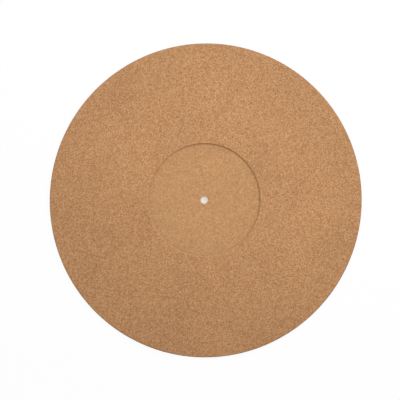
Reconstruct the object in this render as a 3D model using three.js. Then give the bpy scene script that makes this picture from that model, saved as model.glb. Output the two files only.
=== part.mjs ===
// Turntable platter mat: one disc of pressed cork granules, with a shallow recess milled into the
// record face for the record's label and a spindle hole punched through its centre.
// Millimetres, +Z up. The origin is the centre of the underside, which lies on the platter.

import * as THREE from 'three';

// Driving sizes, in millimetres
const matDiameter = 300;
const matThickness = 3;
const recessDiameter = 108;
const recessDepth = 1;
const spindleHoleDiameter = 7.3;

// Softened edges, each a radius in millimetres
const rimTopRound = 0.6;
const rimBottomRound = 0.4;
const recessLipRound = 0.35;
const recessFootFillet = 0.25;
const holeTopRound = 0.3;
const holeBottomRound = 0.25;

// How finely the round shapes are divided
const turnSegments = 120;
const rimArcSteps = 4;
const smallArcSteps = 3;

const corkColour = 0xbc8d63;
const corkRoughness = 0.9;

// The corners of the mat's section, anticlockwise, as distance from the axis and height
function sectionCorners() {
  const rim = matDiameter / 2;
  const recessWall = recessDiameter / 2;
  const hole = spindleHoleDiameter / 2;
  const recordFace = matThickness;
  const recessFloor = matThickness - recessDepth;
  return [
    { at: new THREE.Vector2(hole, 0), round: holeBottomRound, steps: smallArcSteps },
    { at: new THREE.Vector2(rim, 0), round: rimBottomRound, steps: rimArcSteps },
    { at: new THREE.Vector2(rim, recordFace), round: rimTopRound, steps: rimArcSteps },
    { at: new THREE.Vector2(recessWall, recordFace), round: recessLipRound, steps: smallArcSteps },
    { at: new THREE.Vector2(recessWall, recessFloor), round: recessFootFillet, steps: smallArcSteps },
    { at: new THREE.Vector2(hole, recessFloor), round: holeTopRound, steps: smallArcSteps },
  ];
}

// A quarter arc that rounds one square corner, no larger than half of either wall beside it
function cornerArc(before, corner, after) {
  const toBefore = before.at.clone().sub(corner.at);
  const toAfter = after.at.clone().sub(corner.at);
  const round = Math.min(corner.round, toBefore.length() / 2, toAfter.length() / 2);
  toBefore.setLength(round);
  toAfter.setLength(round);
  const centre = corner.at.clone().add(toBefore).add(toAfter);
  const points = [];
  for (let step = 0; step <= corner.steps; step += 1) {
    const angle = (step / corner.steps) * (Math.PI / 2);
    const point = centre.clone();
    point.addScaledVector(toAfter, -Math.cos(angle));
    point.addScaledVector(toBefore, -Math.sin(angle));
    points.push(point);
  }
  return points;
}

// The whole section as one closed outline
function roundedSection() {
  const corners = sectionCorners();
  const outline = corners.flatMap((corner, index) => {
    const before = corners[(index + corners.length - 1) % corners.length];
    const after = corners[(index + 1) % corners.length];
    return cornerArc(before, corner, after);
  });
  outline.push(outline[0].clone());
  return outline;
}

// The section turned about the spindle's axis
function buildPlatterMat() {
  const geometry = new THREE.LatheGeometry(roundedSection(), turnSegments);
  geometry.rotateX(Math.PI / 2);
  const cork = new THREE.MeshStandardMaterial({
    color: corkColour,
    roughness: corkRoughness,
    metalness: 0,
  });
  const mat = new THREE.Mesh(geometry, cork);
  mat.name = 'platter_mat';
  return mat;
}

const turntableMat = new THREE.Group();
turntableMat.add(buildPlatterMat());

export default turntableMat;
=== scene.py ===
import math
import random

import bmesh
import bpy
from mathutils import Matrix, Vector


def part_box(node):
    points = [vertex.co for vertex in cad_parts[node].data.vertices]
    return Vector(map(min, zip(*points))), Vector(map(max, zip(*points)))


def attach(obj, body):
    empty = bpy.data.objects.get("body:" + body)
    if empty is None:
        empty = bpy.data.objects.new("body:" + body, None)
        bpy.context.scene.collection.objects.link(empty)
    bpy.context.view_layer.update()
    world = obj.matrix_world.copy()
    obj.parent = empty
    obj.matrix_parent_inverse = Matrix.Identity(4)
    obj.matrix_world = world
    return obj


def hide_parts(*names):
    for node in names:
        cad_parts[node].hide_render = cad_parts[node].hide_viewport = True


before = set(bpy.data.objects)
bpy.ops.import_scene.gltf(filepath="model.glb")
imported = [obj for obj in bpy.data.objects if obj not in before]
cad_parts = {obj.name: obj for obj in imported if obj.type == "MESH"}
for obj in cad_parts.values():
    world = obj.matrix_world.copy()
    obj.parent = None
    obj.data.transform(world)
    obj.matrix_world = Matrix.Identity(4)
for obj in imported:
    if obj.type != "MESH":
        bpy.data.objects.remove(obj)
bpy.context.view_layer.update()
matLow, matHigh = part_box("platter_mat")

opaqueWhite, opaqueBlack = (1, 1, 1, 1), (0, 0, 0, 1)


def pointToward(degreesFromX, degreesUp, distance, aim=(0, 0, 0)):
    around, up = math.radians(degreesFromX), math.radians(degreesUp)
    return (
        aim[0] + distance * math.cos(up) * math.cos(around),
        aim[1] + distance * math.cos(up) * math.sin(around),
        aim[2] + distance * math.sin(up),
    )


# Camera, lights and floor

cameraView = {
    "tilt": 7.5,          # degrees away from straight down
    "towards": -18,       # degrees from +X, where the camera leans
    "distance": 1.8,
    "lens": 169.4,
    "clipEnd": 20,
    "aim": (-0.0042, 0.0, 0.0),
}


def setCamera():
    # it leans a little to one side of straight down, and +Y stays up in the picture
    aim = cameraView["aim"]
    place = pointToward(cameraView["towards"], 90 - cameraView["tilt"], cameraView["distance"], aim)
    back = [(place[i] - aim[i]) / cameraView["distance"] for i in range(3)]
    turn = (-math.asin(back[1]), math.atan2(back[0], back[2]), 0)
    bpy.ops.object.camera_add(location=place, rotation=turn)
    camera = bpy.context.object
    camera.name = "matCamera"
    camera.data.lens = cameraView["lens"]
    camera.data.clip_end = cameraView["clipEnd"]
    bpy.context.scene.camera = camera
    print("camera set")


lightSet = {
    "sideSoftbox": {"towards": 30, "height": 36, "distance": 1.2, "size": 0.45, "power": 8.95},
    "topSoftbox": {"towards": 120, "height": 48, "distance": 0.85, "size": 0.45, "power": 2.5},
    "fill": 0.335,        # the world's own level
}


def addSoftbox(name):
    box = lightSet[name]
    place = pointToward(box["towards"], box["height"], box["distance"])
    turn = (math.radians(90 - box["height"]), 0, math.radians(box["towards"] + 90))
    bpy.ops.object.light_add(type="AREA", location=place, rotation=turn)
    light = bpy.context.object
    light.name = name
    light.data.shape = "SQUARE"
    light.data.size = box["size"]
    light.data.energy = box["power"]


def addNode(tree, kind, **values):
    node = tree.nodes.new(kind)
    for name, value in values.items():
        setattr(node, name, value)
    return node


def feed(tree, socket, value):
    if isinstance(value, bpy.types.NodeSocket):
        tree.links.new(value, socket)
    else:
        socket.default_value = value


def maths(tree, operation, first, second=0.0, third=0.0, clamp=False):
    node = addNode(tree, "ShaderNodeMath", operation=operation, use_clamp=clamp)
    for socket, value in zip(node.inputs, (first, second, third)):
        feed(tree, socket, value)
    return node.outputs[0]


def mixed(tree, share, first, second, blend="MIX"):
    node = addNode(tree, "ShaderNodeMix", data_type="RGBA", blend_type=blend)
    feed(tree, node.inputs["Factor"], share)
    feed(tree, node.inputs["A"], first)
    feed(tree, node.inputs["B"], second)
    return node.outputs["Result"]


def ramped(tree, value, low, high, fromShade=0.0, toShade=1.0):
    node = addNode(tree, "ShaderNodeMapRange", interpolation_type="SMOOTHSTEP")
    for name, given in (("Value", value), ("From Min", low), ("From Max", high),
                        ("To Min", fromShade), ("To Max", toShade)):
        feed(tree, node.inputs[name], given)
    return node.outputs["Result"]


def seenDirectly(tree):
    # 1 for a ray that comes from the camera, a gloss or glass, and 0 for one that lights
    path = addNode(tree, "ShaderNodeLightPath").outputs
    glossToo = maths(tree, "MAXIMUM", path["Is Camera Ray"], path["Is Glossy Ray"])
    return maths(tree, "MAXIMUM", glossToo, path["Is Transmission Ray"])


def setWorld():
    world = bpy.data.worlds.new("paleStudio")
    bpy.context.scene.world = world
    world.use_nodes = True
    tree = world.node_tree
    tree.nodes.clear()
    fill = addNode(tree, "ShaderNodeBackground")
    white = addNode(tree, "ShaderNodeBackground")
    feed(tree, fill.inputs["Strength"], lightSet["fill"])
    feed(tree, fill.inputs["Color"], opaqueWhite)
    feed(tree, white.inputs["Color"], opaqueWhite)
    pick = addNode(tree, "ShaderNodeMixShader")
    out = addNode(tree, "ShaderNodeOutputWorld")
    feed(tree, pick.inputs["Fac"], seenDirectly(tree))
    feed(tree, pick.inputs[1], fill.outputs[0])
    feed(tree, pick.inputs[2], white.outputs[0])
    feed(tree, out.inputs["Surface"], pick.outputs[0])


floorSet = {
    "size": 8.0,
    "drop": 0.00002,                     # below the mat's underside
    "shade": (0.97, 0.97, 0.97),
    "glow": 0.95,
    "underMat": 0.006,                   # the radius that only the spindle hole shows
    # painted bounce light: the cream that the cork round the spindle hole would cast on the floor
    "paintedBounceTint": (0.80, 0.71, 0.62),    # white as the cork round it tints it
    "underGlow": 0.60,
}


def addFloor():
    bpy.ops.mesh.primitive_plane_add(size=floorSet["size"], location=(0, 0, -floorSet["drop"]))
    floor = bpy.context.object
    floor.name = "studioFloor"
    pale = bpy.data.materials.new("paleFloor")
    pale.use_nodes = True
    tree = pale.node_tree
    tree.nodes.clear()
    matte = addNode(tree, "ShaderNodeBsdfDiffuse")
    feed(tree, matte.inputs["Color"], (*floorSet["shade"], 1))
    glow = addNode(tree, "ShaderNodeEmission")
    # it glows in a direct view, and less under the mat, where the spindle hole shows it in a cream of painted
    # bounce light
    fromMiddle = addNode(tree, "ShaderNodeVectorMath", operation="LENGTH")
    feed(tree, fromMiddle.inputs[0], addNode(tree, "ShaderNodeTexCoord").outputs["Object"])
    under = maths(tree, "LESS_THAN", fromMiddle.outputs["Value"], floorSet["underMat"])
    feed(tree, glow.inputs["Color"], mixed(tree, under, opaqueWhite, (*floorSet["paintedBounceTint"], 1)))
    share = maths(tree, "MULTIPLY_ADD", under, floorSet["underGlow"] - floorSet["glow"], floorSet["glow"])
    mix = addNode(tree, "ShaderNodeMixShader")
    out = addNode(tree, "ShaderNodeOutputMaterial")
    feed(tree, mix.inputs["Fac"], maths(tree, "MULTIPLY", share, seenDirectly(tree)))
    feed(tree, mix.inputs[1], matte.outputs[0])
    feed(tree, mix.inputs[2], glow.outputs[0])
    feed(tree, out.inputs["Surface"], mix.outputs[0])
    floor.data.materials.append(pale)


def setStage():
    setWorld()
    addSoftbox("sideSoftbox")
    addSoftbox("topSoftbox")
    addFloor()
    view = bpy.context.scene.view_settings
    view.view_transform = "Standard"
    print("lights and floor set")


# The mat's shape: rings of points from the hole round the section and back, bridged one to the next.
# Lengths are in metres. The outline and the thickness come from the platter_mat part in model.glb.

matShape = {
    "holeRadius": 0.00365,
    "recessRadius": 0.054,
    "recessDepth": 0.001,
    "rimTopRound": 0.0006,
    "rimBottomRound": 0.0004,
    "lipRound": 0.00035,
    "footFillet": 0.00025,
    "holeTopRound": 0.0003,
    "holeBottomRound": 0.00025,
    "faceSpacing": 0.00125,    # between neighbouring points on the record face and in the recess
    "underSpacing": 0.00165,
    "rimSpacing": 0.00105,
    "recessWallSpacing": 0.0009,
    "holeSpacing": 0.0006,
    "wallRise": 0.0006,        # from one ring to the next on the upright walls
    "edgeMargin": 0.0003125,   # points this near the edge of a flat surface keep their place
    "fewestPoints": 18,        # in one ring
    "ringTurn": 2.4,           # radians from one ring of points to the next, so that no spokes line up
    "arcSteps": 3,
    "bridgeLift": 0.002,
    "ringsInRun": 30,          # how many are bridged before the runs are joined
    "mergeWithin": 0.000001,
    "evenOutAngle": 3,         # degrees, the most that an edge may bend if it is turned to even out triangles
    "smoothAngle": 35,         # degrees, past which an edge is shaded sharp
}


def evenRings(start, end, spacing):
    # rings between two places on a straight stretch, without the places themselves
    length = math.hypot(end[0] - start[0], end[1] - start[1])
    steps = max(1, round(length / spacing))
    shares = [step / steps for step in range(1, steps)]
    return [(start[0] + (end[0] - start[0]) * s, start[1] + (end[1] - start[1]) * s) for s in shares]


def arcRings(centre, radius, fromDegrees, toDegrees):
    steps = matShape["arcSteps"]
    angles = [math.radians(fromDegrees + (toDegrees - fromDegrees) * s / steps) for s in range(steps + 1)]
    return [(centre[0] + radius * math.cos(a), centre[1] + radius * math.sin(a)) for a in angles]


def sectionRings():
    # (radius, height, spacing along the ring) for every ring, in order round the mat's section
    rim, top, bottom = matHigh.x, matHigh.z, matLow.z
    floor = top - matShape["recessDepth"]
    hole, recess = matShape["holeRadius"], matShape["recessRadius"]
    under, over = matShape["holeBottomRound"], matShape["holeTopRound"]
    foot, lip = matShape["footFillet"], matShape["lipRound"]
    rimTop, rimBottom = matShape["rimTopRound"], matShape["rimBottomRound"]
    onFace, onUnderside, rise = matShape["faceSpacing"], matShape["underSpacing"], matShape["wallRise"]
    rings = []

    def lay(places, spacing):
        rings.extend((radius, height, spacing) for radius, height in places)

    lay(arcRings((hole + under, bottom + under), under, 270, 180), matShape["holeSpacing"])
    lay(evenRings((hole, bottom + under), (hole, floor - over), rise), matShape["holeSpacing"])
    lay(arcRings((hole + over, floor - over), over, 180, 90), matShape["holeSpacing"])
    lay(evenRings((hole + over, floor), (recess - foot, floor), onFace), onFace)
    lay(arcRings((recess - foot, floor + foot), foot, 270, 360), matShape["recessWallSpacing"])
    lay(arcRings((recess + lip, top - lip), lip, 180, 90), matShape["recessWallSpacing"])
    lay(evenRings((recess + lip, top), (rim - rimTop, top), onFace), onFace)
    lay(arcRings((rim - rimTop, top - rimTop), rimTop, 90, 0), matShape["rimSpacing"])
    lay(evenRings((rim, top - rimTop), (rim, bottom + rimBottom), rise), matShape["rimSpacing"])
    lay(arcRings((rim - rimBottom, bottom + rimBottom), rimBottom, 0, -90), matShape["rimSpacing"])
    lay(evenRings((rim - rimBottom, bottom), (hole + under, bottom), onUnderside), onUnderside)
    return rings


def pickPoints(mesh, *listsOfPoints):
    bpy.ops.mesh.select_all(action="DESELECT")
    shape = bmesh.from_edit_mesh(mesh)
    shape.verts.ensure_lookup_table()
    for points in listsOfPoints:
        for index in points:
            shape.verts[index].select_set(True)
    shape.select_flush(True)


def bridgeAndLower(mesh, ring, liftedRing):
    # the second ring is held above its place, so that the bridge finds which way the two face
    pickPoints(mesh, ring, liftedRing)
    bpy.ops.mesh.bridge_edge_loops()
    pickPoints(mesh, liftedRing)
    bpy.ops.transform.translate(value=(0, 0, -matShape["bridgeLift"]))


def buildStretch(rings, stretch):
    # one object from a run of neighbouring rings, each bridged to the one before it
    lift = matShape["bridgeLift"]
    laid = []
    for index in stretch:
        radius, height, spacing = rings[index]
        count = max(matShape["fewestPoints"], round(2 * math.pi * radius / spacing))
        bpy.ops.mesh.primitive_circle_add(
            vertices=count, radius=radius, location=(0, 0, height + lift),
            rotation=(0, 0, index * matShape["ringTurn"]), calc_uvs=False)
        if laid:
            laid.append(range(laid[-1].stop, laid[-1].stop + count))
            bridgeAndLower(skin.data, laid[-2], laid[-1])
        else:
            skin = bpy.context.object
            bpy.ops.object.transform_apply(location=True, rotation=True, scale=True)
            bpy.ops.object.mode_set(mode="EDIT")
            bpy.ops.transform.translate(value=(0, 0, -lift))
            laid.append(range(0, count))
    bpy.ops.object.mode_set(mode="OBJECT")
    return skin


def buildShell():
    bpy.ops.object.select_all(action="DESELECT")
    rings = sectionRings()
    inOrder = [*range(len(rings)), 0]          # the last ring meets the first again
    run = matShape["ringsInRun"]
    skins = [buildStretch(rings, inOrder[start:start + run + 1]) for start in range(0, len(rings), run)]
    for skin in skins:
        skin.select_set(True)
    mat = skins[0]
    bpy.context.view_layer.objects.active = mat
    bpy.ops.object.join()
    mat.name = mat.data.name = "corkMat"
    bpy.ops.object.mode_set(mode="EDIT")
    bpy.ops.mesh.select_all(action="SELECT")
    bpy.ops.mesh.remove_doubles(threshold=matShape["mergeWithin"])
    bpy.ops.mesh.normals_make_consistent(inside=False)
    print("shell bridged from", len(rings), "rings")
    return mat


# How rough each surface is: points wander in its plane, swell out of it, and some faces are pits

corkRelief = {
    "recordFace": {"wander": 0.00037, "swell": 0.000035, "pitShare": 0.012, "pitDepth": 0.00026, "seed": 11},
    "recessFloor": {"wander": 0.00037, "swell": 0.000022, "pitShare": 0.006, "pitDepth": 0.00018, "seed": 12},
    "underside": {"wander": 0.00048, "swell": 0.000040, "pitShare": 0.010, "pitDepth": 0.00028, "seed": 13},
    "rimEdge": {"wander": 0.00006, "swell": 0.000050, "pitShare": 0.020, "pitDepth": 0.00022, "seed": 14},
    "recessWall": {"wander": 0.00003, "swell": 0.000030, "pitShare": 0.0, "pitDepth": 0.0, "seed": 15},
    "holeWall": {"wander": 0.00002, "swell": 0.000025, "pitShare": 0.0, "pitDepth": 0.0, "seed": 16},
}
pitDepthShares = (1.0, 0.6)    # each for an equal part of a surface's pits
swellSeedStep = 50             # a surface's swell draws from its own seed plus this


def surfaceRadii():
    # the radii between which each surface lies
    rim = matHigh.x
    hole, recess = matShape["holeRadius"], matShape["recessRadius"]
    return {
        "holeWall": (0, hole + matShape["holeTopRound"]),
        "recessFloor": (hole + matShape["holeTopRound"], recess - matShape["footFillet"]),
        "recessWall": (recess - matShape["footFillet"], recess + matShape["lipRound"]),
        "recordFace": (recess + matShape["lipRound"], rim - matShape["rimTopRound"]),
        "rimEdge": (rim - matShape["rimTopRound"], rim + matShape["rimTopRound"]),
        "underside": (hole + matShape["holeBottomRound"], rim - matShape["rimBottomRound"]),
    }


def surfaceAt(place, radii):
    radius = math.hypot(place.x, place.y)
    inner, outer = radii["underside"]
    quarterUp = matLow.z + (matHigh.z - matLow.z) / 4
    if place.z < quarterUp and inner < radius < outer:
        return "underside"
    for name in ("holeWall", "recessFloor", "recessWall", "recordFace"):
        if radius < radii[name][1]:
            return name
    return "rimEdge"


def flatHeight(surface):
    floor = matHigh.z - matShape["recessDepth"]
    heights = {"recordFace": matHigh.z, "recessFloor": floor, "underside": matLow.z}
    return heights.get(surface)


def sortPoints(mesh):
    # the points of each surface; a flat one leaves out those that sit on its very edge
    radii = surfaceRadii()
    shape = bmesh.from_edit_mesh(mesh)
    points = {name: [] for name in radii}
    for vert in shape.verts:
        name = surfaceAt(vert.co, radii)
        radius = math.hypot(vert.co.x, vert.co.y)
        onEdge = min(radius - radii[name][0], radii[name][1] - radius) < matShape["edgeMargin"]
        if flatHeight(name) is None or not onEdge:
            points[name].append(vert.index)
    return points


def wanderPoints(mesh, surface, points):
    relief = corkRelief[surface]
    pickPoints(mesh, points)
    bpy.ops.transform.vertex_random(offset=relief["wander"], uniform=0, normal=0, seed=relief["seed"])
    height = flatHeight(surface)
    if height is not None:
        bpy.ops.transform.resize(value=(1, 1, 0), center_override=(0, 0, height))


def swellPoints(mesh, surface, points):
    # the highest points of a flat surface stay at its true height
    relief = corkRelief[surface]
    pickPoints(mesh, points)
    seed = relief["seed"] + swellSeedStep
    bpy.ops.transform.vertex_random(offset=relief["swell"], uniform=0, normal=1, seed=seed)
    height = flatHeight(surface)
    if height is not None:
        inward = relief["swell"] if surface == "underside" else -relief["swell"]
        bpy.ops.transform.translate(value=(0, 0, inward))


def sinkPits(mesh, surface, points):
    # some of the faces between granules are small voids: their middle is poked inward
    relief = corkRelief[surface]
    draw = random.Random(relief["seed"])
    inside = set(points)
    chance = relief["pitShare"] / len(pitDepthShares)
    for depthShare in pitDepthShares:
        bpy.ops.mesh.select_all(action="DESELECT")
        shape = bmesh.from_edit_mesh(mesh)
        for face in shape.faces:
            whole = all(vert.index in inside for vert in face.verts)
            if whole and draw.random() < chance:
                face.select_set(True)
        bpy.ops.mesh.poke(offset=-relief["pitDepth"] * depthShare)


def seatFlat(mesh):
    # nothing on the mat reaches below the plane that it lies on
    shape = bmesh.from_edit_mesh(mesh)
    pickPoints(mesh, [vert.index for vert in shape.verts if vert.co.z < matLow.z])
    bpy.ops.transform.resize(value=(1, 1, 0), center_override=(0, 0, matLow.z))


def roughenShell(mat):
    mesh = mat.data
    points = sortPoints(mesh)
    for surface in points:
        wanderPoints(mesh, surface, points[surface])
    bpy.ops.mesh.select_all(action="SELECT")
    bpy.ops.mesh.quads_convert_to_tris(quad_method="BEAUTY", ngon_method="BEAUTY")
    bpy.ops.mesh.beautify_fill(angle_limit=math.radians(matShape["evenOutAngle"]))
    for surface in points:
        swellPoints(mesh, surface, points[surface])
    for surface in points:
        if corkRelief[surface]["pitShare"]:
            sinkPits(mesh, surface, points[surface])
    seatFlat(mesh)
    print("surfaces roughened")


# The cork's finish on each surface: one node group draws the pressed granules, and two more paint shade on
# what is deep or far out. Colours are linear, lengths in metres.

corkFinish = {
    "recordFace": {
        "Pale": (0.725, 0.421, 0.206), "Deep": (0.330, 0.109, 0.026), "Bark": (0.200, 0.084, 0.030),
        "Granule": 0.00092, "Bark Share": 0.014, "Binder": 0.26, "Mottle": 0.145, "Sanded": 0.25,
    },
    "recessFloor": {
        "Pale": (0.713, 0.398, 0.188), "Deep": (0.417, 0.194, 0.071), "Bark": (0.292, 0.136, 0.058),
        "Granule": 0.00104, "Bark Share": 0.008, "Binder": 0.18, "Mottle": 0.038, "Sanded": 0.55,
    },
    "recessWall": {
        "Pale": (0.720, 0.395, 0.185), "Deep": (0.430, 0.200, 0.078), "Bark": (0.300, 0.140, 0.060),
        "Granule": 0.00110, "Bark Share": 0.010, "Binder": 0.20, "Mottle": 0.030, "Sanded": 0.40,
    },
    "holeWall": {
        "Pale": (0.690, 0.378, 0.176), "Deep": (0.400, 0.184, 0.070), "Bark": (0.280, 0.130, 0.056),
        "Granule": 0.00110, "Bark Share": 0.010, "Binder": 0.24, "Mottle": 0.030, "Sanded": 0.20,
    },
    "rimEdge": {
        "Pale": (0.520, 0.270, 0.120), "Deep": (0.270, 0.120, 0.046), "Bark": (0.160, 0.070, 0.032),
        "Granule": 0.00110, "Bark Share": 0.060, "Binder": 0.40, "Mottle": 0.030, "Sanded": 0.10,
    },
    "underside": {
        "Pale": (0.730, 0.395, 0.186), "Deep": (0.300, 0.122, 0.041), "Bark": (0.190, 0.084, 0.035),
        "Granule": 0.00120, "Bark Share": 0.040, "Binder": 0.34, "Mottle": 0.040, "Sanded": 0.15,
    },
}

# Painted shade: small voids and the foot of the recess are painted darker, toward the bark colour, than the
# surface that they start from. The full shade is reached at the surface's own pit depth, or at the depth
# given here.
paintedHollowShade = {
    "recordFace": {"from": "recordFace", "share": 0.55},
    "recessFloor": {"from": "recessFloor", "share": 0.55},
    "recessWall": {"from": "recordFace", "share": 0.14, "depth": 0.00095},
    "underside": {"from": "underside", "share": 0.55},
}
hollowBegins = 0.35    # the share of that depth at which the shade begins

# Painted shade: a surface darkens outward from one radius to another by a share, near the recess wall's foot
# and toward the rim
paintedOutwardShade = {
    "recordFace": [{"start": 0.085, "end": 0.150, "share": 0.060}],
    "recessFloor": [
        {"start": 0.030, "end": 0.0535, "share": 0.045},
        {"start": 0.0506, "end": 0.0535, "share": 0.10},
    ],
}


def newGroup(name, inputs, outputs):
    group = bpy.data.node_groups.new(name, "ShaderNodeTree")
    for socketName, kind, value in inputs:
        socket = group.interface.new_socket(socketName, in_out="INPUT", socket_type=kind)
        if value is not None:
            socket.default_value = value
    for socketName, kind in outputs:
        group.interface.new_socket(socketName, in_out="OUTPUT", socket_type=kind)
    return group, addNode(group, "NodeGroupInput").outputs, addNode(group, "NodeGroupOutput").inputs


def noiseAt(tree, place, scale, detail, roughness):
    node = addNode(tree, "ShaderNodeTexNoise")
    feed(tree, node.inputs["Vector"], place)
    feed(tree, node.inputs["Scale"], scale)
    feed(tree, node.inputs["Detail"], detail)
    feed(tree, node.inputs["Roughness"], roughness)
    return node.outputs


def cellsAt(tree, place, scale, feature="F1"):
    node = addNode(tree, "ShaderNodeTexVoronoi", feature=feature)
    feed(tree, node.inputs["Vector"], place)
    feed(tree, node.inputs["Scale"], scale)
    return node.outputs


# What is the same in the grain of every surface. Scales and reach are counted in granules.
grainShape = {
    "bendScale": 0.9, "bendDetail": 3.0, "bendRoughness": 0.65, "bendReach": 0.9,
    "crumbScale": 2.1,
    "fineScale": 5.0, "fineDetail": 3.0, "fineRoughness": 0.6,
    "leastTone": 0.02, "granuleTone": 0.60, "crumbTone": 0.28, "fineTone": 0.22,
    "barkFade": 0.02, "barkCover": 0.85,
    "seamWidth": 0.12, "seamBreaks": (0.38, 0.62), "seamLeast": 0.15,
    "broadScale": 14.0, "broadDetail": 3.0, "broadRoughness": 0.6,    # this scale is per metre
    "rough": 0.74, "roughFine": 0.16, "roughSeam": 0.08, "roughBark": -0.12,
    "highGranule": 0.55, "highFine": 0.25, "highSeam": -0.45,
}


def makeCorkGrain():
    floatKind, colourKind = "NodeSocketFloat", "NodeSocketColor"
    inputs = [("Vector", "NodeSocketVector", None)]
    for name, value in corkFinish["recordFace"].items():
        isColour = isinstance(value, tuple)
        inputs.append((name, colourKind, (*value, 1)) if isColour else (name, floatKind, value))
    outputs = [("Color", colourKind), ("Roughness", floatKind), ("Height", floatKind)]
    group, given, made = newGroup("corkGrain", inputs, outputs)
    place, granule, grain = given["Vector"], given["Granule"], grainShape
    perMetre = maths(group, "DIVIDE", 1.0, granule)

    # granules with bent outlines
    bendScale = maths(group, "MULTIPLY", perMetre, grain["bendScale"])
    bends = noiseAt(group, place, bendScale, grain["bendDetail"], grain["bendRoughness"])
    bend = addNode(group, "ShaderNodeVectorMath", operation="SUBTRACT")
    feed(group, bend.inputs[0], bends["Color"])
    feed(group, bend.inputs[1], (0.5, 0.5, 0.5))
    reach = maths(group, "MULTIPLY", granule, grain["bendReach"])
    spread = addNode(group, "ShaderNodeCombineXYZ")
    for socket in spread.inputs:
        feed(group, socket, reach)
    bent = addNode(group, "ShaderNodeVectorMath", operation="MULTIPLY_ADD")
    feed(group, bent.inputs[0], bend.outputs[0])
    feed(group, bent.inputs[1], spread.outputs[0])
    feed(group, bent.inputs[2], place)
    bentPlace = bent.outputs[0]

    big = addNode(group, "ShaderNodeSeparateColor")
    feed(group, big.inputs[0], cellsAt(group, bentPlace, perMetre)["Color"])
    small = addNode(group, "ShaderNodeSeparateColor")
    crumbScale = maths(group, "MULTIPLY", perMetre, grain["crumbScale"])
    feed(group, small.inputs[0], cellsAt(group, bentPlace, crumbScale)["Color"])
    gap = cellsAt(group, bentPlace, perMetre, "DISTANCE_TO_EDGE")["Distance"]
    fineScale = maths(group, "MULTIPLY", perMetre, grain["fineScale"])
    fine = noiseAt(group, place, fineScale, grain["fineDetail"], grain["fineRoughness"])[0]

    # tone of each granule, with smaller crumbs and fine cells in it
    tone = maths(group, "MULTIPLY_ADD", big.outputs["Red"], grain["granuleTone"], grain["leastTone"])
    tone = maths(group, "MULTIPLY_ADD", small.outputs["Red"], grain["crumbTone"], tone)
    tone = maths(group, "MULTIPLY_ADD", fine, grain["fineTone"], tone, clamp=True)
    colour = mixed(group, tone, given["Deep"], given["Pale"])

    # dark bark specks, whole granules of it
    barkFrom = maths(group, "SUBTRACT", 1.0, given["Bark Share"])
    barkFull = maths(group, "ADD", barkFrom, grain["barkFade"])
    bark = ramped(group, big.outputs["Green"], barkFrom, barkFull)
    colour = mixed(group, maths(group, "MULTIPLY", bark, grain["barkCover"]), colour, given["Bark"])

    # darker binder between granules, broken here and there
    breakLow, breakHigh = grain["seamBreaks"]
    seam = ramped(group, gap, 0.0, grain["seamWidth"], 1.0, 0.0)
    seam = maths(group, "MULTIPLY", seam, ramped(group, fine, breakLow, breakHigh, grain["seamLeast"], 1.0))
    darker = maths(group, "MULTIPLY", seam, given["Binder"])
    colour = mixed(group, darker, colour, mixed(group, 0.5, given["Deep"], given["Bark"]))

    # broad uneven tone of the pressed block, level 1 on average
    broad = noiseAt(group, place, grain["broadScale"], grain["broadDetail"], grain["broadRoughness"])[0]
    broad = maths(group, "MULTIPLY_ADD", maths(group, "SUBTRACT", broad, 0.5), given["Mottle"], 0.5)
    level = maths(group, "MULTIPLY", broad, 2.0)
    grey = addNode(group, "ShaderNodeCombineColor")
    for channel in range(3):
        feed(group, grey.inputs[channel], level)
    colour = mixed(group, 1.0, colour, grey.outputs[0], "MULTIPLY")
    feed(group, made["Color"], colour)

    # sanded granules stand a little proud of the seams, and bark is a little smoother
    rough = maths(group, "MULTIPLY_ADD", fine, grain["roughFine"], grain["rough"])
    rough = maths(group, "MULTIPLY_ADD", seam, grain["roughSeam"], rough)
    rough = maths(group, "MULTIPLY_ADD", bark, grain["roughBark"], rough, clamp=True)
    feed(group, made["Roughness"], rough)
    high = maths(group, "MULTIPLY", fine, grain["highFine"])
    high = maths(group, "MULTIPLY_ADD", big.outputs["Blue"], grain["highGranule"], high)
    high = maths(group, "MULTIPLY", high, maths(group, "SUBTRACT", 1.0, given["Sanded"]))
    feed(group, made["Height"], maths(group, "MULTIPLY_ADD", seam, grain["highSeam"], high))
    return group


def makePaintedHollowShade():
    # the mask of painted shade in hollows: 0 at a surface's own height, and 1 at the full depth from it,
    # whichever way the surface faces
    group, given, made = newGroup("paintedHollowShade", [
        ("Vector", "NodeSocketVector", None),
        ("Face Height", "NodeSocketFloat", 0.0),
        ("Depth", "NodeSocketFloat", 0.0002),
    ], [("Mask", "NodeSocketFloat")])
    parts = addNode(group, "ShaderNodeSeparateXYZ")
    feed(group, parts.inputs[0], given["Vector"])
    below = maths(group, "ABSOLUTE", maths(group, "SUBTRACT", parts.outputs["Z"], given["Face Height"]))
    begins = maths(group, "MULTIPLY", given["Depth"], hollowBegins)
    feed(group, made["Mask"], ramped(group, below, begins, given["Depth"]))
    return group


def makePaintedOutwardShade():
    # the mask of painted shade: 0 within the first radius from the mat's axis, and 1 beyond the second
    group, given, made = newGroup("paintedOutwardShade", [
        ("Vector", "NodeSocketVector", None),
        ("Start", "NodeSocketFloat", 0.1),
        ("End", "NodeSocketFloat", 0.15),
    ], [("Mask", "NodeSocketFloat")])
    level = addNode(group, "ShaderNodeVectorMath", operation="MULTIPLY")
    feed(group, level.inputs[0], given["Vector"])
    feed(group, level.inputs[1], (1, 1, 0))
    radius = addNode(group, "ShaderNodeVectorMath", operation="LENGTH")
    feed(group, radius.inputs[0], level.outputs[0])
    feed(group, made["Mask"], ramped(group, radius.outputs["Value"], given["Start"], given["End"]))
    return group


def useGroup(tree, group, place, values):
    node = addNode(tree, "ShaderNodeGroup", node_tree=group)
    feed(tree, node.inputs["Vector"], place)
    for name, value in values.items():
        feed(tree, node.inputs[name], value)
    return node.outputs


corkSheen = {
    "bumpDistance": 0.00012,    # metres, for the relief that is finer than the mesh
    "specular": 0.3,
}


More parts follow.
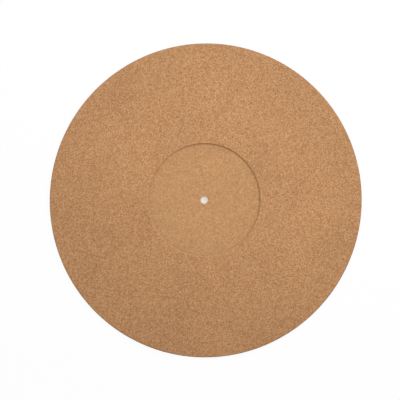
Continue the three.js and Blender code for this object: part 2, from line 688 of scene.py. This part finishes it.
def makeCork(surface, groups):
    finish = corkFinish[surface]
    cork = bpy.data.materials.new(surface)
    cork.use_nodes = True
    tree = cork.node_tree
    tree.nodes.clear()
    place = addNode(tree, "ShaderNodeTexCoord").outputs["Object"]
    colours = {name: (*value, 1) if isinstance(value, tuple) else value for name, value in finish.items()}
    granules = useGroup(tree, groups["grain"], place, colours)
    colour = granules["Color"]
    # painted shade in small voids and at the foot of the recess wall, mixed toward the bark colour
    hollow = paintedHollowShade.get(surface)
    if hollow:
        depth = hollow.get("depth", corkRelief[surface]["pitDepth"])
        begins = {"Face Height": flatHeight(hollow["from"]), "Depth": depth}
        below = useGroup(tree, groups["hollow"], place, begins)
        colour = mixed(tree, maths(tree, "MULTIPLY", below["Mask"], hollow["share"]), colour, colours["Bark"])
    # painted shade: each band darkens the colour toward black
    for band in paintedOutwardShade.get(surface, []):
        beyond = useGroup(tree, groups["outward"], place, {"Start": band["start"], "End": band["end"]})
        colour = mixed(tree, maths(tree, "MULTIPLY", beyond["Mask"], band["share"]), colour, opaqueBlack)
    bump = addNode(tree, "ShaderNodeBump")
    feed(tree, bump.inputs["Distance"], corkSheen["bumpDistance"])
    feed(tree, bump.inputs["Height"], granules["Height"])
    body = addNode(tree, "ShaderNodeBsdfPrincipled")
    feed(tree, body.inputs["Specular IOR Level"], corkSheen["specular"])
    feed(tree, body.inputs["Base Color"], colour)
    feed(tree, body.inputs["Roughness"], granules["Roughness"])
    feed(tree, body.inputs["Normal"], bump.outputs["Normal"])
    out = addNode(tree, "ShaderNodeOutputMaterial")
    feed(tree, out.inputs["Surface"], body.outputs[0])
    return cork


def wearCork(mat):
    groups = {"grain": makeCorkGrain(), "hollow": makePaintedHollowShade(), "outward": makePaintedOutwardShade()}
    order = list(corkFinish)
    for surface in order:
        mat.data.materials.append(makeCork(surface, groups))
    radii = surfaceRadii()
    shape = bmesh.from_edit_mesh(mat.data)
    for face in shape.faces:
        face.material_index = order.index(surfaceAt(face.calc_center_median(), radii))
    bmesh.update_edit_mesh(mat.data)
    print("cork materials worn")


# A flat layout for baking: the record side unrolled as one disc, and the underside as a smaller one
bakeLayout = {
    "overShare": 0.348,     # radius of the record side's disc, as a share of the layout's width
    "underShare": 0.234,
    "edgeGap": 0.002,
}


def layBakeMap(mat):
    floor = matHigh.z - matShape["recessDepth"]
    midway = (matShape["recessRadius"] + matHigh.x) / 2
    overRadius = matHigh.x + matShape["recessDepth"] + matHigh.z
    overShare, underShare = bakeLayout["overShare"], bakeLayout["underShare"]
    edgeGap = bakeLayout["edgeGap"]
    undersideSlot = mat.data.materials.find("underside")
    layer = mat.data.uv_layers.new(name="OFBake")
    for face in mat.data.polygons:
        for loop in face.loop_indices:
            place = mat.data.vertices[mat.data.loops[loop].vertex_index].co
            radius = math.hypot(place.x, place.y)
            if face.material_index == undersideSlot:
                middle, size = 1 - underShare - edgeGap, underShare / matHigh.x
                along = radius
            else:
                middle, size = overShare + edgeGap, overShare / overRadius
                # walls are laid flat beside their surface: the hole's inward, the recess's and rim's outward
                rise, fall = place.z - floor, matShape["recessDepth"] + matHigh.z - place.z
                along = radius + (rise if radius < midway else fall)
            stretch = along / radius * size
            layer.uv[loop].vector = (middle + place.x * stretch, middle + place.y * stretch)
    print("bake layout made")


setCamera()
setStage()
mat = buildShell()
roughenShell(mat)
wearCork(mat)
bpy.ops.object.mode_set(mode="OBJECT")
layBakeMap(mat)
bpy.ops.object.shade_smooth_by_angle(angle=math.radians(matShape["smoothAngle"]))
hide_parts("platter_mat")
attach(mat, "root")
